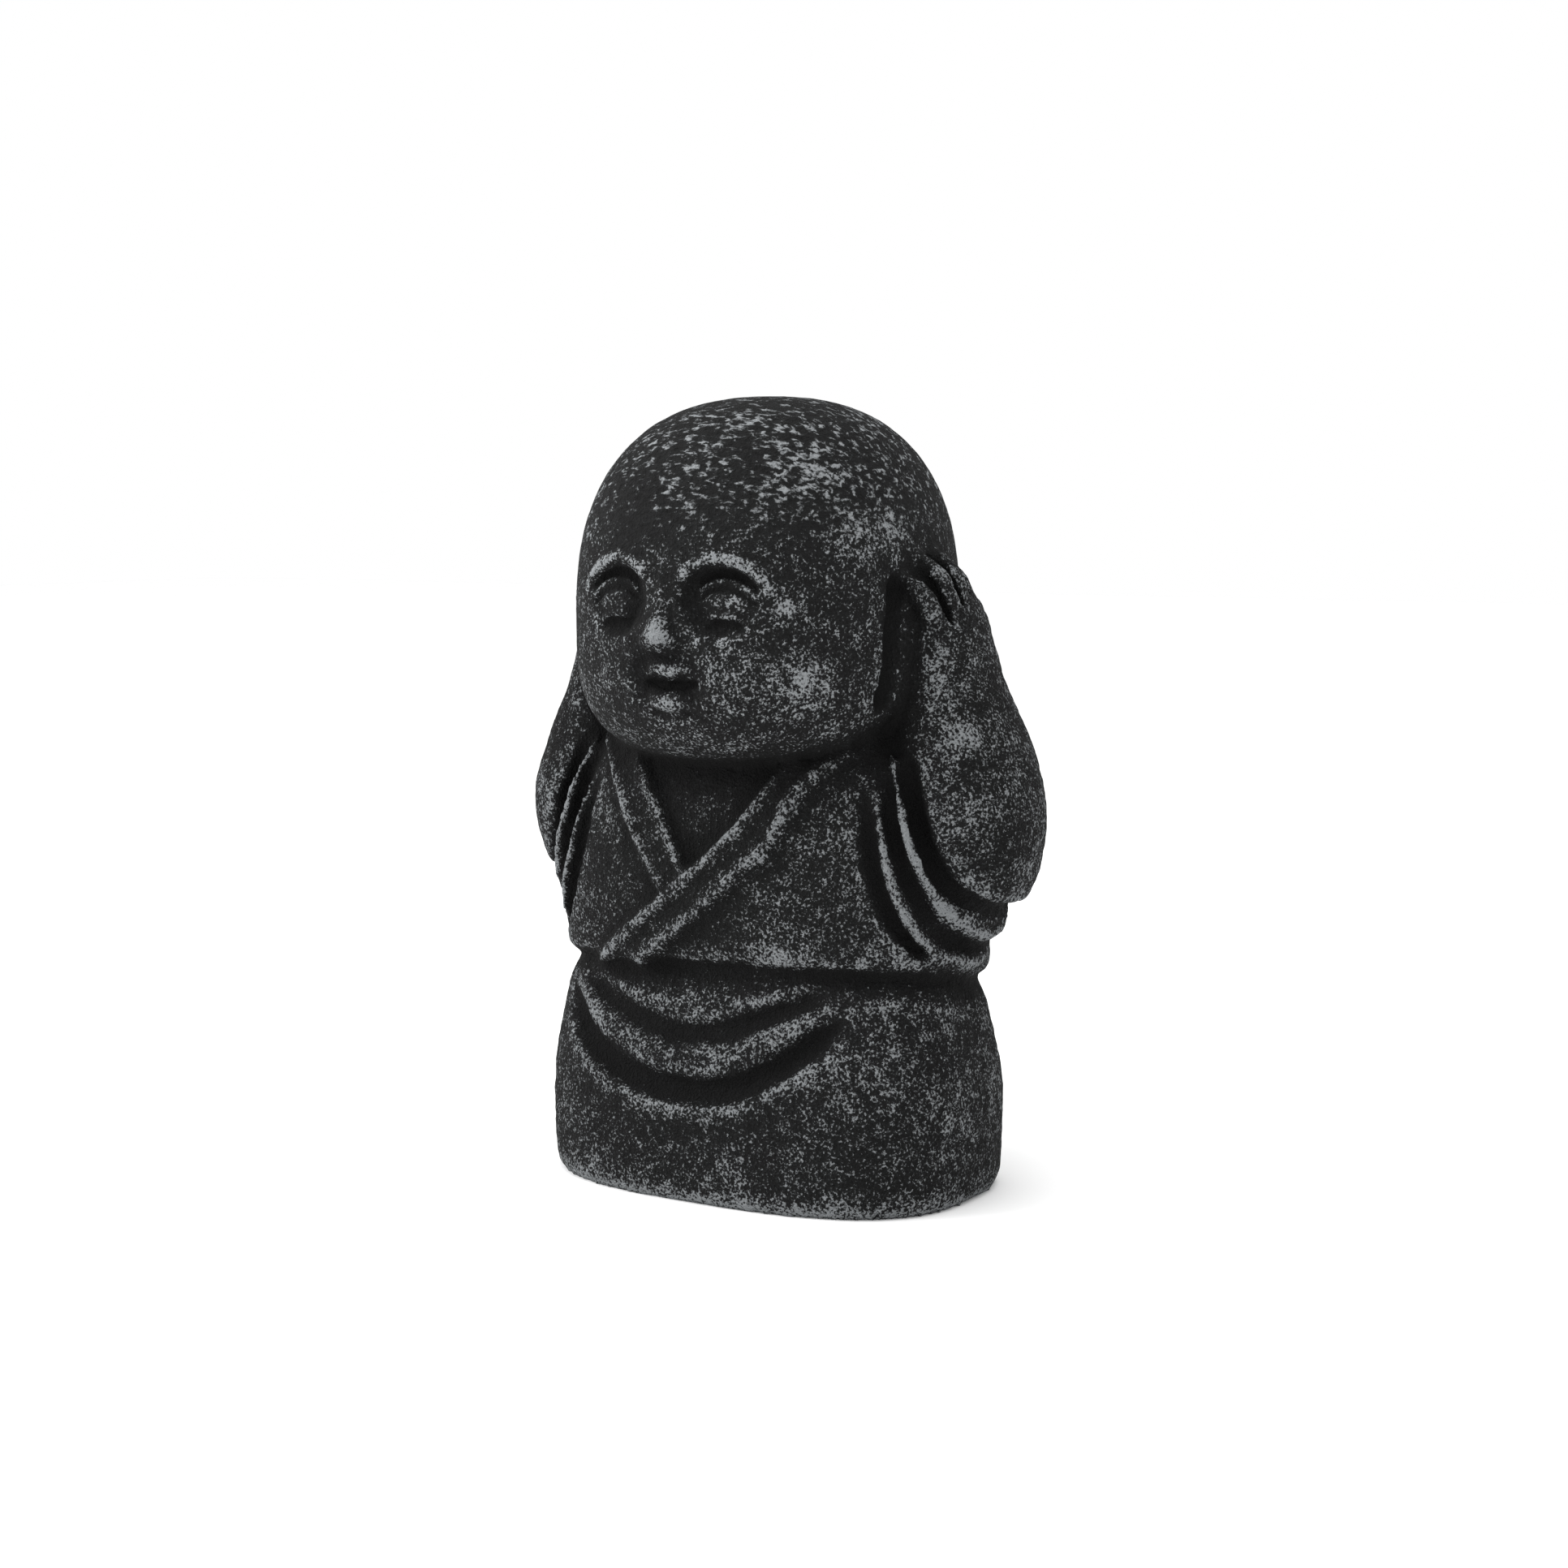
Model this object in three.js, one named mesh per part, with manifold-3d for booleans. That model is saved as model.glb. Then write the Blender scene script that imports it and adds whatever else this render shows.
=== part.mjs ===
// A child monk of cast stone, standing with both hands held over the ears.
// Millimetres, +Z up. The origin is the centre of the flat underside.
// The figure faces -Y, and its left hand is at +X.
import * as THREE from "three";
import { mergeVertices } from "three/addons/utils/BufferGeometryUtils.js";
import Module from "manifold-3d";

const wasm = await Module();
wasm.setup();

// ---- Driving sizes ----
// Profiles are [height, size] stations. Places on the robe are [x, height] as seen from the front.

const HEIGHT = 150;

const ROBE = {
  heights: [0, 1.2, 3.6, 14, 26, 34, 39, 41.6, 43, 43.8, 44.6, 45.6, 53, 61, 69, 77, 84, 89, 92, 93],
  width: [[0, 44], [12, 44.8], [24, 44.6], [41, 42], [48, 42.6], [60, 41.5], [76, 37.5], [88, 33], [93, 26]],
  depth: [[0, 30], [20, 28], [41, 24], [48, 24.8], [60, 25.6], [76, 24], [88, 19], [93, 13]],
  squareness: [[0, 2.7], [42, 2.85], [93, 2.3]],
  belt: [[38, 0], [41, 0.5], [43, 1.3], [43.8, 2.3], [44.6, 1.4], [45.6, 0]],
  beltSag: 3.4,
  beltTilt: 0.9,
  beltReach: [[14, 0], [38, 1], [50, 1], [69, 0]],
  rim: 3.6,
  rimInset: 1.1,
};

// The head's roundness is the exponent of its outline: 2 is an ellipse, and more is squarer.
const HEAD = {
  middle: -2.4,
  level: 109,
  width: 35.6,
  depth: 36,
  chin: 81,
  plan: 2.15,
  crownRound: 2.45,
  jawRound: 3.4,
  lean: 1.2,
};

// Each raised arm and its sleeve: how far out and back its middle is, and how thick and deep it is.
const ARM = {
  heights: [46, 48, 51, 55, 59, 64, 70, 77, 85, 94, 103, 110, 114, 116],
  out: [[46, 36], [52, 38], [58, 40.5], [72, 40.9], [84, 39.3], [96, 37], [106, 35.8], [116, 34]],
  back: [[46, 3], [72, 2.4], [84, 3.2], [96, 2.6], [116, 1.2]],
  thick: [[46, 5], [52, 8.4], [60, 12], [72, 13.6], [84, 12.4], [96, 9.4], [106, 7.6], [112, 6.6], [116, 3]],
  deep: [[46, 8], [52, 10.5], [60, 14], [72, 16.8], [84, 15.4], [96, 12.8], [106, 11.6], [112, 10], [116, 5]],
};

// The two sleeve folds, from the shoulder down round the elbow to the back, and the grooves beside them.
const OUTER_FOLD = [
  [33.2, -12.2, 86], [36.2, -13.6, 76.6], [40.6, -12.9, 66.6], [44.8, -9, 58.1],
  [47.4, 0.4, 53.4], [43.4, 12, 53.8], [37, 16, 57],
];
const INNER_FOLD = [
  [30.6, -14.6, 80], [32.9, -15.2, 72.4], [36.3, -15, 62.4], [40, -12, 52.8],
  [43.2, -4, 47.6], [42, 8, 46.4], [36, 16, 49],
];
const FOLD_RADIUS = 2.4;
const ELBOW_GROOVE = [
  [34.8, -12, 88], [38.2, -13.8, 76], [43, -13.8, 66], [47.6, -9.6, 59],
  [49.6, -0.5, 56.4], [45.4, 12, 57.4], [38, 17.4, 61],
];
const PANEL_GROOVE = [[29.4, -18.4, 80], [30.6, -19, 72], [33.6, -19, 61], [38.4, -15.4, 51], [42.6, -7, 46]];
const HAND_GROOVE = [[34.4, -12.6, 118], [34.8, -13.2, 108], [34.4, -13.4, 98], [33, -14, 90.6]];

// Collar bands. The left band lies over the right one and runs down to the belt.
const LEFT_BAND = {
  inner: [[26, 91], [14.5, 83.4], [0.8, 65.8], [-12.3, 55.6], [-24.9, 45]],
  outer: [[31, 89], [20.6, 80], [9.6, 64.8], [-2.9, 54.6], [-13.4, 45]],
};
const RIGHT_BAND = {
  outer: [[-29.5, 87.5], [-20.5, 77.8], [-15.6, 69.1], [-11, 58]],
  inner: [[-19, 86], [-10.3, 74.8], [-3.6, 63.2], [0, 57]],
};
const CHEST = {
  right: [[-17.6, 86], [-9.2, 74.6], [-3.2, 64.4]],
  left: [[17.4, 86.4], [8.2, 76], [-1.4, 64.8]],
};

// Two hanging folds across the front of the skirt.
const SWAGS = [
  { radius: 2, line: [[-33, 41], [-20, 34.9], [-2, 31.7], [14.8, 35.9], [30.5, 42.6]] },
  { radius: 2.4, line: [[-36.5, 39], [-27, 28.5], [-12.5, 22.8], [-2.8, 21.7], [8, 23], [21, 30], [32, 39]] },
];

const EYE = { out: 11.6, level: 112.3, turn: 0.2 };
const NOSE = {
  heights: [103.6, 104.4, 105.6, 107.4, 110, 113, 117.5],
  width: [[103.6, 3.8], [105.4, 5], [108, 3.4], [112, 2.3], [117.5, 1.8]],
  lift: [[103.6, 1.4], [105.2, 2.9], [107, 2.7], [112, 1.1], [117.5, 0]],
};
const MOUTH_LEVEL = 97.8;

// Each finger from its knuckle to its tip, on the left hand.
const FINGERS = [
  [[39.4, -6.6, 106.6], [38, -9, 111.8], [34.8, -11.4, 117]],
  [[40.2, -2.6, 108.6], [38.6, -4.6, 115], [34.6, -6.4, 121]],
  [[40.2, 1.4, 109], [38.6, 0.2, 115.6], [34.6, -1, 121.6]],
  [[39, 5.6, 108.6], [37.2, 5, 114.6], [34.2, 4.2, 119.8]],
];
const FINGER_RADIUS = 2.3;

// ---- Helpers ----

// A smooth curve through [place, value] stations, as a function of place.
function through(stations) {
  const slope = (i) => {
    const a = stations[Math.max(i - 1, 0)];
    const b = stations[Math.min(i + 1, stations.length - 1)];
    return (b[1] - a[1]) / (b[0] - a[0]);
  };
  return (place) => {
    const x = THREE.MathUtils.clamp(place, stations[0][0], stations.at(-1)[0]);
    let i = 0;
    while (i < stations.length - 2 && x > stations[i + 1][0]) i++;
    const [x0, y0] = stations[i];
    const [x1, y1] = stations[i + 1];
    const w = x1 - x0;
    const t = (x - x0) / w;
    const t2 = t * t;
    const t3 = t2 * t;
    return (2 * t3 - 3 * t2 + 1) * y0 + (t3 - 2 * t2 + t) * w * slope(i)
      + (3 * t2 - 2 * t3) * y1 + (t3 - t2) * w * slope(i + 1);
  };
}

// Moves every vertex of a geometry to where place(x, y, z) says.
function reshape(geometry, place) {
  const p = geometry.attributes.position;
  for (let i = 0; i < p.count; i++) p.setXYZ(i, ...place(p.getX(i), p.getY(i), p.getZ(i)));
  return geometry;
}

// A three.js geometry as a solid that can be joined and cut.
function solid(geometry) {
  const bare = geometry.clone();
  bare.deleteAttribute("normal");
  bare.deleteAttribute("uv");
  const merged = mergeVertices(bare, 1e-4);
  const made = new wasm.Manifold(new wasm.Mesh({
    numProp: 3,
    vertProperties: new Float32Array(merged.attributes.position.array),
    triVerts: new Uint32Array(merged.index.array),
  }));
  if (made.volume() < 0) throw new Error("a solid is inside out");
  return made;
}

// A solid back as a three.js geometry.
function geometryOf(made) {
  const mesh = made.getMesh();
  const geometry = new THREE.BufferGeometry();
  geometry.setAttribute("position", new THREE.BufferAttribute(new Float32Array(mesh.vertProperties), 3));
  geometry.setIndex(new THREE.BufferAttribute(new Uint32Array(mesh.triVerts), 1));
  return geometry;
}

// A body of level rings. ring(height) gives its centre x and y, half-width, half-depth and squareness.
function rings(heights, sides, ring) {
  const outline = [
    new THREE.Vector2(0, heights[0]),
    ...heights.map((z) => new THREE.Vector2(1, z)),
    new THREE.Vector2(0, heights.at(-1)),
  ];
  const lathe = new THREE.LatheGeometry(outline, sides).rotateX(Math.PI / 2);
  return reshape(lathe, (x, y, z) => {
    const [cx, cy, a, b, n] = ring(z);
    const r = Math.hypot(x, y);
    if (r < 1e-6) return [cx, cy, z];
    const k = (Math.abs(x / r) ** n + Math.abs(y / r) ** n) ** (-1 / n);
    return [cx + a * k * x, cy + b * k * y, z];
  });
}

// A ball of clay, turned about a vertical line.
function ellipsoid(at, half, turn = 0, across = 16, down = 10) {
  const ball = new THREE.SphereGeometry(1, across, down).rotateX(Math.PI / 2);
  return ball.scale(...half).rotateZ(turn).translate(...at);
}

// A rope of clay, or the groove that a round chisel leaves, along a smooth curve.
// A low taper gives blunt ends.
function strand(points, radius, steps, sides, taper = 0.5) {
  const curve = new THREE.CatmullRomCurve3(points.map((p) => new THREE.Vector3(...p)));
  const ball = new THREE.SphereGeometry(1, sides, steps).rotateX(Math.PI / 2);
  return reshape(ball, (x, y, z) => {
    const t = Math.acos(THREE.MathUtils.clamp(z, -1, 1)) / Math.PI;
    const at = curve.getPoint(t);
    const along = curve.getTangent(t);
    const across = along.clone().cross(new THREE.Vector3(at.x, at.y, 0)).normalize();
    const outward = across.clone().cross(along);
    const r = radius * Math.max(Math.hypot(x, y), 1e-6) ** (taper - 1);
    return at.addScaledVector(across, x * r).addScaledVector(outward, y * r).toArray();
  });
}

const mirrored = (points) => points.map(([x, y, z]) => [-x, y, z]);

// ---- Body ----

const robeWidth = through(ROBE.width);
const robeDepth = through(ROBE.depth);
const robeSquareness = through(ROBE.squareness);

function robe() {
  const belt = through(ROBE.belt);
  const body = rings(ROBE.heights, 44, (z) => {
    const inset = belt(z) + ROBE.rimInset * Math.max(0, 1 - z / ROBE.rim) ** 2;
    return [0, 0, robeWidth(z) - inset, robeDepth(z) - inset, robeSquareness(z)];
  });
  // The belt line hangs lower at the sides and back than at the front.
  const reach = through(ROBE.beltReach);
  return reshape(body, (x, y, z) => {
    const sag = ROBE.beltSag * THREE.MathUtils.clamp(1 + y / robeDepth(z), 0, 1) ** 2;
    return [x, y, z - reach(z) * (sag - ROBE.beltTilt * x / robeWidth(z))];
  });
}

// The point of the robe's front at a place seen from the front, moved out from the surface by lift.
function onFront(x, z, lift) {
  const surface = (u, v) => {
    const n = robeSquareness(v);
    const aside = Math.min(1, Math.abs(u) / robeWidth(v));
    return new THREE.Vector3(u, -robeDepth(v) * (1 - aside ** n) ** (1 / n), v);
  };
  const here = surface(x, z);
  const rightward = surface(x + 0.2, z).sub(here);
  const upward = surface(x, z + 0.2).sub(here);
  return here.addScaledVector(rightward.cross(upward).normalize(), lift);
}

function arm(side) {
  const [out, back, thick, deep] = [ARM.out, ARM.back, ARM.thick, ARM.deep].map(through);
  return rings(ARM.heights, 20, (z) => [side * out(z), back(z), thick(z), deep(z), 2.1]);
}

// A slab on the robe's front between two edges, from bottom up to topA at edgeA and to topB at edgeB.
function slab(edgeA, edgeB, topA, topB, bottom) {
  const smooth = (edge) => new THREE.SplineCurve(edge.map((p) => new THREE.Vector2(...p)));
  const [a, b] = [edgeA, edgeB].map(smooth);
  const block = new THREE.BoxGeometry(1, 1, 1, 12, 2, 1);
  return reshape(block, (x, y, z) => {
    const place = a.getPoint(x + 0.5).lerp(b.getPoint(x + 0.5), y + 0.5);
    const lift = z > 0 ? THREE.MathUtils.lerp(topA, topB, y + 0.5) : bottom;
    return onFront(place.x, place.y, lift).toArray();
  });
}

function swag({ line, radius }) {
  return strand(line.map(([x, z]) => onFront(x, z, 0.5).toArray()), radius, 16, 8, 0.7);
}

// ---- Head ----

function head() {
  const { middle, level, width, depth, chin, plan, crownRound, jawRound, lean } = HEAD;
  const ball = new THREE.SphereGeometry(1, 36, 24).rotateX(Math.PI / 2);
  return reshape(ball, (x, y, z) => {
    const round = z > 0 ? crownRound : jawRound;
    const tall = z > 0 ? HEIGHT - level : level - chin;
    const flat = (Math.abs(x) ** plan + Math.abs(y) ** plan) ** (1 / plan);
    const s = (flat ** round + Math.abs(z) ** round) ** (-1 / round);
    return [s * x * width, middle + s * y * depth + lean * Math.max(0, z) ** 2, level + s * z * tall];
  });
}

// The y of the face's front at a height.
function faceFront(z) {
  const { middle, level, depth, chin, crownRound, jawRound } = HEAD;
  const [round, tall] = z > level ? [crownRound, HEIGHT - level] : [jawRound, level - chin];
  return middle - depth * (1 - (Math.abs(z - level) / tall) ** round) ** (1 / round);
}

function nose() {
  const [width, lift] = [NOSE.width, NOSE.lift].map(through);
  const root = 2;
  return rings(NOSE.heights, 12, (z) => [0, faceFront(z) + root, width(z), lift(z) + root, 2]);
}

function socket(side) {
  return ellipsoid([side * EYE.out, -37.9, EYE.level + 0.9], [8.6, 3.6, 7.7], side * EYE.turn);
}

function eyeball(side) {
  return ellipsoid([side * EYE.out, -32.6, EYE.level - 0.6], [6.6, 3.4, 4.2], side * EYE.turn, 14, 8);
}

function upperLid(side) {
  const line = [[-6, -35.4, -1], [-3, -36.2, 1.8], [1, -36.2, 2.9], [5, -35, 1.8], [7.6, -33.6, -0.6]];
  return strand(line.map(([x, y, z]) => [side * (EYE.out + x), y, EYE.level + z]), 0.9, 8, 6);
}

function lip(halfWidth, middle, corner, radius) {
  const y = -35.6;
  const line = [[-halfWidth, y + 1, corner], [-halfWidth / 2, y, middle + 0.3], [0, y - 0.3, middle]];
  return strand([...line, [halfWidth / 2, y, middle + 0.3], [halfWidth, y + 1, corner]], radius, 8, 8);
}

function mouthHollow() {
  return ellipsoid([0, -45.6, 96.4], [17, 10.4, 12.6], 0, 16, 10);
}

function mouthGap() {
  return strand([[-6.2, -35.6, MOUTH_LEVEL], [0, -37, MOUTH_LEVEL], [6.2, -35.6, MOUTH_LEVEL]], 0.9, 6, 6);
}

// ---- The figure, from clay joined and cut ----

const sides = [1, -1];
const onBothSides = (points) => [points, mirrored(points)];
const joined = (geometries) => geometries.map(solid).reduce((a, b) => a.add(b));

const mass = joined([
  robe(),
  head(),
  ...sides.map(arm),
  slab(RIGHT_BAND.outer, RIGHT_BAND.inner, 0.8, 1.4, -1.5),
  slab(LEFT_BAND.inner, LEFT_BAND.outer, 1.9, 0.6, -1.5),
  ...[OUTER_FOLD, INNER_FOLD].flatMap(onBothSides).map((line) => strand(line, FOLD_RADIUS, 14, 8)),
  ...FINGERS.flatMap(onBothSides).map((line) => strand(line, FINGER_RADIUS, 6, 7)),
]);
const cuts = joined([
  slab(CHEST.right, CHEST.left, 4, 4, -1),
  ...SWAGS.map(swag),
  ...onBothSides(ELBOW_GROOVE).map((line) => strand(line, 1.8, 14, 7)),
  ...onBothSides(PANEL_GROOVE).map((line) => strand(line, 1.3, 10, 7)),
  ...onBothSides(HAND_GROOVE).map((line) => strand(line, 2, 8, 8)),
  ...sides.map(socket),
  mouthHollow(),
]);
const features = joined([
  nose(),
  ...sides.map(eyeball),
  ...sides.map(upperLid),
  lip(6.4, 100, 98.8, 1.5),
  lip(5.2, 94.8, 95.4, 1.6),
]);
const figure = mass.subtract(cuts).add(features).subtract(solid(mouthGap()));

const stone = new THREE.MeshStandardMaterial({ color: 0x2c2d2e, roughness: 0.95, metalness: 0 });
const statue = new THREE.Mesh(geometryOf(figure), stone);
statue.name = "jizo_statue";
const group = new THREE.Group();
group.add(statue);
export default group;
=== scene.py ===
import bmesh
import bpy
import numpy as np
from mathutils import Matrix, Vector, noise
from mathutils.bvhtree import BVHTree


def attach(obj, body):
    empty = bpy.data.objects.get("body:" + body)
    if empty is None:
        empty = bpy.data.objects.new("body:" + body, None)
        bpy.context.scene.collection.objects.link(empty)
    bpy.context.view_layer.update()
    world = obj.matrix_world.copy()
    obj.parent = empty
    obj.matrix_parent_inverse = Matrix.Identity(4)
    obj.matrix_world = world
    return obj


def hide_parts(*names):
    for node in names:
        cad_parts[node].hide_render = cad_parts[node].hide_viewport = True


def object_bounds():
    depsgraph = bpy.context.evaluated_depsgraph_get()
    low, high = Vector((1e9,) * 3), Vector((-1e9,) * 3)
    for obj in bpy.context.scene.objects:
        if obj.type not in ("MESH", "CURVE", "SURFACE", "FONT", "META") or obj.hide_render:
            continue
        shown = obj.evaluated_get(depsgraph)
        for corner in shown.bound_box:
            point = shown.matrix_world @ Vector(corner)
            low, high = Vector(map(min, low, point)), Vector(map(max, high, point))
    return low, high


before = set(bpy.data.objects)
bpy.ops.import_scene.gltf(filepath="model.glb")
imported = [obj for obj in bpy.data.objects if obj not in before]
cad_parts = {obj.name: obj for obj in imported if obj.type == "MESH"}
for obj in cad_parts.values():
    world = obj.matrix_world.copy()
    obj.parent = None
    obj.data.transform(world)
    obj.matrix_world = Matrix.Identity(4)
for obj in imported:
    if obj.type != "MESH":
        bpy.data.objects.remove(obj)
cad_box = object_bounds()

MM = 0.001
HEIGHT = (cad_box[1].z - cad_box[0].z) / MM
SIDES = (1, -1)

# ---- Driving sizes, in millimetres ----
# Profiles are (height, size) stations. Places on the robe are (x, height) as seen from the front.

ROBE_TOP = 93
ROBE_WIDTH = [(0, 44), (12, 44.8), (24, 44.6), (41, 42), (48, 42.6), (60, 41.5), (76, 37.5), (88, 33),
              (93, 26)]
ROBE_DEPTH = [(0, 30), (20, 28), (41, 24), (48, 24.8), (60, 25.6), (76, 24), (88, 19), (93, 13)]
ROBE_SQUARENESS = [(0, 2.7), (42, 2.85), (93, 2.3)]
BELT = [(38, 0), (41, 0.8), (43, 1.8), (43.8, 2.9), (44.4, 1.5), (45.2, 0)]
BELT_LINE, BELT_SAG, BELT_TILT = 43.6, 3.4, 0.9
BELT_REACH = [(14, 0), (38, 1), (50, 1), (69, 0)]
RIM, RIM_INSET = 3.6, 1.1

HEAD = dict(middle=-2.4, level=109, width=35.6, depth=36, chin=81, plan=2.15, crown=2.45, jaw=3.4, lean=1.2)

ARM_FOOT, ARM_TOP = 46, 116
ARM_OUT = [(46, 36), (52, 38), (58, 40.5), (72, 40.9), (84, 39.3), (96, 37), (106, 35.8), (116, 34)]
ARM_BACK = [(46, 3), (72, 2.4), (84, 3.2), (96, 2.6), (116, 1.2)]
ARM_THICK = [(46, 5), (52, 8.4), (60, 12), (72, 13.6), (84, 12.4), (96, 9.4), (106, 7.6), (112, 6.6),
             (116, 3)]
ARM_DEEP = [(46, 8), (52, 10.5), (60, 14), (72, 16.8), (84, 15.4), (96, 12.8), (106, 11.6), (112, 10),
            (116, 5)]
ARM_SQUARENESS = 2.1

# The left sleeve's two folds along their crests, and the grooves beside them. All run from the shoulder
# down and round to the back, and the right sleeve mirrors them.
OUTER_FOLD = [(33.4, -12.4, 86.5), (36.2, -15, 78), (39.2, -15.6, 69.2), (42, -13.6, 61.2),
              (44.6, -7.6, 54.2), (46.4, 2, 50.8), (43.4, 12, 52.8), (37, 17, 56)]
INNER_FOLD = [(31.4, -15, 80), (33.6, -17.2, 72.4), (35.4, -17.8, 64), (38.2, -16.4, 55.8),
              (40.6, -11.6, 48.8), (43.6, -3, 46), (42, 8, 46.4), (36, 16, 49)]
FOLD_RADIUS, FOLD_SINK = 2.1, 0.5
ELBOW_GROOVE = [(35, -12.2, 88), (37.8, -13.4, 77), (41.2, -13.6, 67), (44.8, -11, 60), (48.6, -4.6, 55.9),
                (49, 3.4, 54.9), (46.4, 9.6, 55.4), (38, 16.4, 59)]
FOLD_GROOVE = [(32.6, -13.6, 84), (34.6, -15.8, 73.3), (38.2, -16.2, 63), (41.6, -13.4, 55), (45, -6.4, 49.6),
               (46.2, 3, 48), (41, 13, 49.8), (36, 17, 52.6)]
PANEL_GROOVE = [(29.4, -17, 82), (31.4, -18.2, 71.2), (33.6, -18.6, 61.2), (37.2, -16.2, 52.4),
                (41.2, -9.4, 46)]
HAND_GROOVE = [(33.9, -13, 118), (33.7, -13.8, 108), (33, -14.4, 98), (31.2, -15.2, 91.5)]
GROOVES = ((ELBOW_GROOVE, 2.0), (FOLD_GROOVE, 1.6), (PANEL_GROOVE, 1.6), (HAND_GROOVE, 1.9))    # line, radius

# The collar bands' edges. The left band lies over the right one.
LEFT_BAND_INNER = [(27, 91), (15.8, 83.1), (9.2, 73.8), (2.2, 66.4), (-6.3, 59.4), (-15.4, 52.3),
                   (-25.4, 44.4)]
LEFT_BAND_OUTER = [(31, 89), (20.6, 79), (14.4, 67), (6.6, 60.4), (-1, 53.8), (-14.4, 44)]
RIGHT_BAND_OUTER = [(-31.5, 86.5), (-24.2, 78.7), (-17.4, 69.2), (-9, 57)]
RIGHT_BAND_INNER = [(-19.6, 85.6), (-13.4, 78.4), (-8, 70.4), (-2, 60)]
LEFT_BAND_RISE, RIGHT_BAND_RISE, BAND_HOLLOW = 1.9, 1.5, 0.9
CHEST_SINK, BAND_GROOVE = 0.8, 0.6
COLLAR_FRONT, COLLAR_TOP, COLLAR_WIDE = -6, 92, 33

# The hanging folds across the skirt: two grooves, the roll between them and a low ridge under the second.
SWAG_UPPER = [(-34, 41.4), (-20.5, 35.4), (-10, 32.4), (-2.2, 31.8), (6, 33.2), (14.5, 36.6), (22.5, 40),
              (28, 42.4)]
SWAG_LOWER = [(-37, 39), (-31, 31.8), (-24.5, 26.6), (-12.5, 22.3), (-3, 21.3), (5.5, 21.9), (13.5, 25.2),
              (20, 29.3), (25.5, 33.8), (30, 38)]
SWAG_ROLL = [(-34, 38), (-23, 31.4), (-10, 27.2), (-1, 26.8), (8, 29.2), (17.3, 34), (26, 39.6)]
SWAG_RIDGE = [(-35, 30), (-27, 23.6), (-15, 18.8), (-3, 17.6), (7, 19.2), (16, 23.4), (25, 29.6)]
SWAG_GROOVES = ((SWAG_UPPER, 0.7, 2.2), (SWAG_LOWER, 0.8, 2.7))      # line, how far off the robe, radius
SWAG_RISES = ((SWAG_ROLL, 4, 0.6), (SWAG_RIDGE, 5, 0.7))             # line, radius, height

# Each finger of the left hand, from its knuckle to its tip.
FINGERS = [
    [(39.4, -6.6, 106.6), (38, -9, 111.8), (34.8, -11.4, 117)],
    [(40.2, -2.6, 108.6), (38.6, -4.6, 115), (34.6, -6.4, 121)],
    [(40.2, 1.4, 109), (38.6, 0.2, 115.6), (34.6, -1, 121.6)],
    [(39, 5.6, 108.6), (37.2, 5, 114.6), (34.2, 4.2, 119.8)],
]
FINGER_RADIUS, FINGER_GAP = 2.3, 1.0

# The face. Eye lines are (outward from the eye's middle, up from its level).
EYE_OUT, EYE_LEVEL, EYE_TURN = 11.6, 112.3, 0.2
UPPER_LID = [(-5.2, 1.2), (-3.6, 3), (-1, 3.8), (2.2, 3.3), (4.6, 2), (6.6, 0.2)]
LOWER_LID = [(-3.8, -2.9), (-0.8, -2.3), (2, -2.5), (4.4, -3.8)]
BROW = [(-8.6, 3.6), (-6, 6.2), (-2.2, 7.6), (1.6, 7.3), (5, 5.8), (7.6, 3.2), (8.4, 0)]

# The sockets and the hollow round the mouth are scooped out. The eyeballs, nose and lips are pressed on after.
SOCKET, SOCKET_FRONT, SOCKET_LIFT = (8.6, 4.3, 7.7), -37.9, 0.9
EYEBALL, EYEBALL_FRONT, EYEBALL_DROP = (6.8, 3.4, 4.6), -32.6, 0.2
MOUTH_HOLLOW, MOUTH_HOLLOW_AT = (16, 10.4, 12.2), (0.4, -45.6, 96.4)
NOSE_WIDTH = [(103.4, 4.2), (105.2, 5.3), (108, 3.6), (112, 2.3), (117.5, 1.8)]
NOSE_RISE = [(103.6, 1.4), (105.2, 2.9), (107, 2.7), (112, 1.1), (117.5, 0)]
NOSE_ROOT = 2
LIPS = ((6.2, 100.2, 98.9, 1.7), (5.0, 94.2, 95.0, 1.9))     # half width, middle, corner, radius
LIP_CORNER_FRONT, LIP_SIDE_FRONT, LIP_MIDDLE_FRONT = -35.4, -36.2, -36.3
MOUTH_ASIDE = 0.6
MOUTH_LINE = [(-5.4, 97.8), (0, 97.1), (6.6, 97.7)]
CHIN_LINE = [(-4, 92.4), (0.8, 91.6), (5.4, 92.4)]
LIP_NOTCH = [(0.6, 104), (0.6, 101.6)]

# Where the surface is drawn twice as fine, and where the face is modelled.
FACE_WIDE, FACE_FRONT, FACE_SPAN = 23, -20, (88, 123)
HAND_OUT, HAND_BACK, HAND_SPAN = 33, 10, (106, 124)
MODELLED_FRONT, MODELLED_FROM = -15, 84

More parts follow.
